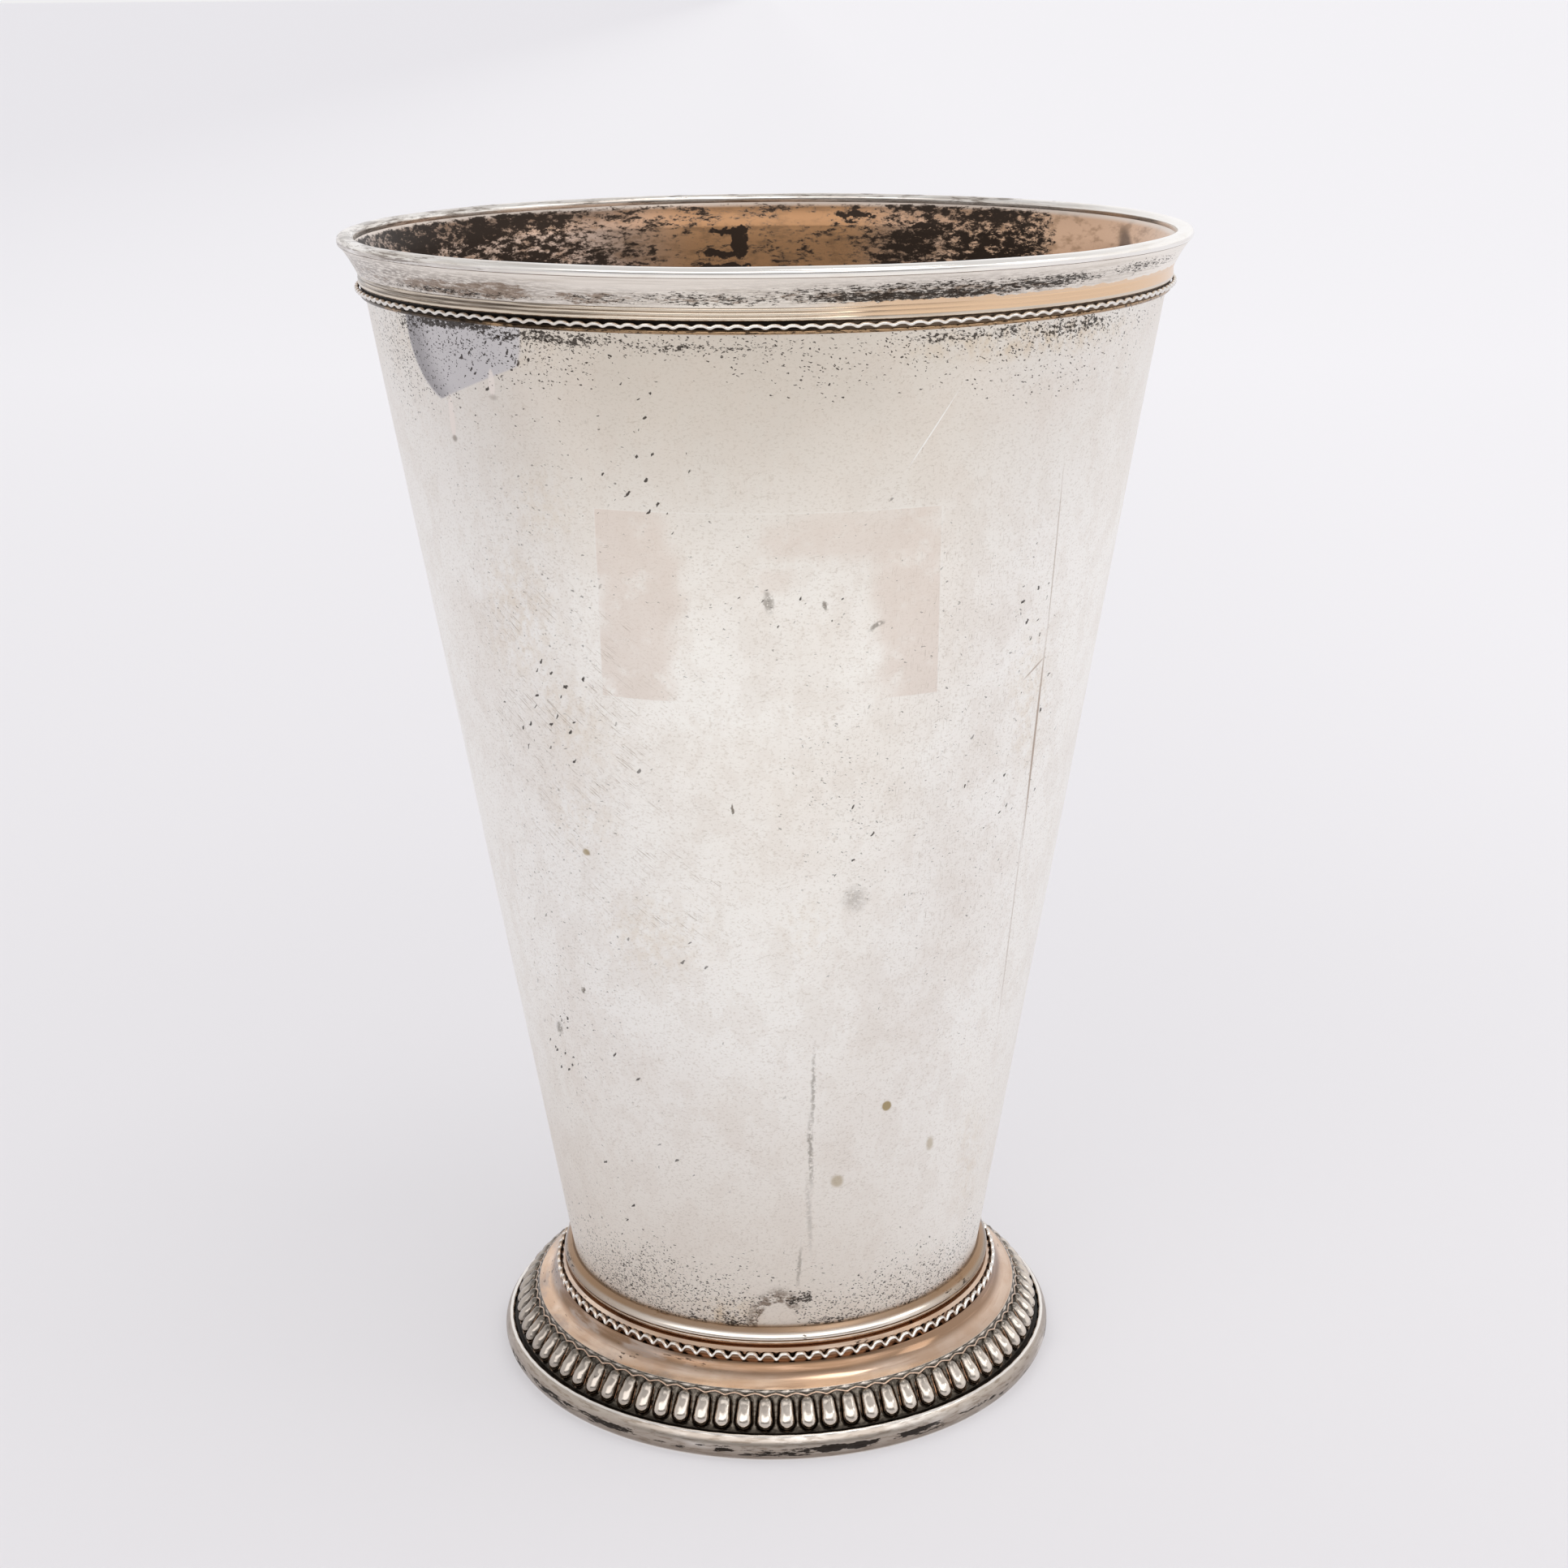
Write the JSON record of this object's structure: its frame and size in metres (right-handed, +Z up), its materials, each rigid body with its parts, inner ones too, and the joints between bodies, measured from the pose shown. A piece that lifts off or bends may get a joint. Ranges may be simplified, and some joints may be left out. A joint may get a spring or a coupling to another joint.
{
  "type": "footed beaker",
  "caption": "Tapered drinking beaker with a flared mouth and rounded lip, fine wire trim under the rim, and a hollow spreading foot with a cove, a gadrooned band and a plain edge.",
  "frame": {"origin": "centre of the foot's underside, on the surface that the beaker stands on", "axes": "+Z up along the axis of the cup, -Y to the front"},
  "size_m": [0.0988, 0.0988, 0.1422],
  "materials": {
    "worn_silver": "hand-finished silver, worn satin with dark tarnish",
    "bright_silver": "drawn silver wire, polished by wear",
    "rose_silver": "spun silver with a rose tone, polished",
    "chased_silver": "stamped and chased silver, bright lobes and dark recesses"
  },
  "bodies": {
    "root": {"beaker_wall": "worn_silver", "beaker_floor": "worn_silver", "lip_wire": "bright_silver", "rim_reed_band": "bright_silver", "rim_zigzag_wire": "bright_silver", "foot_collar": "bright_silver", "foot_cove": "rose_silver", "foot_zigzag_wire": "bright_silver", "gadroon_band": "chased_silver", "foot_rim": "bright_silver"}
  },
  "joints": []
}
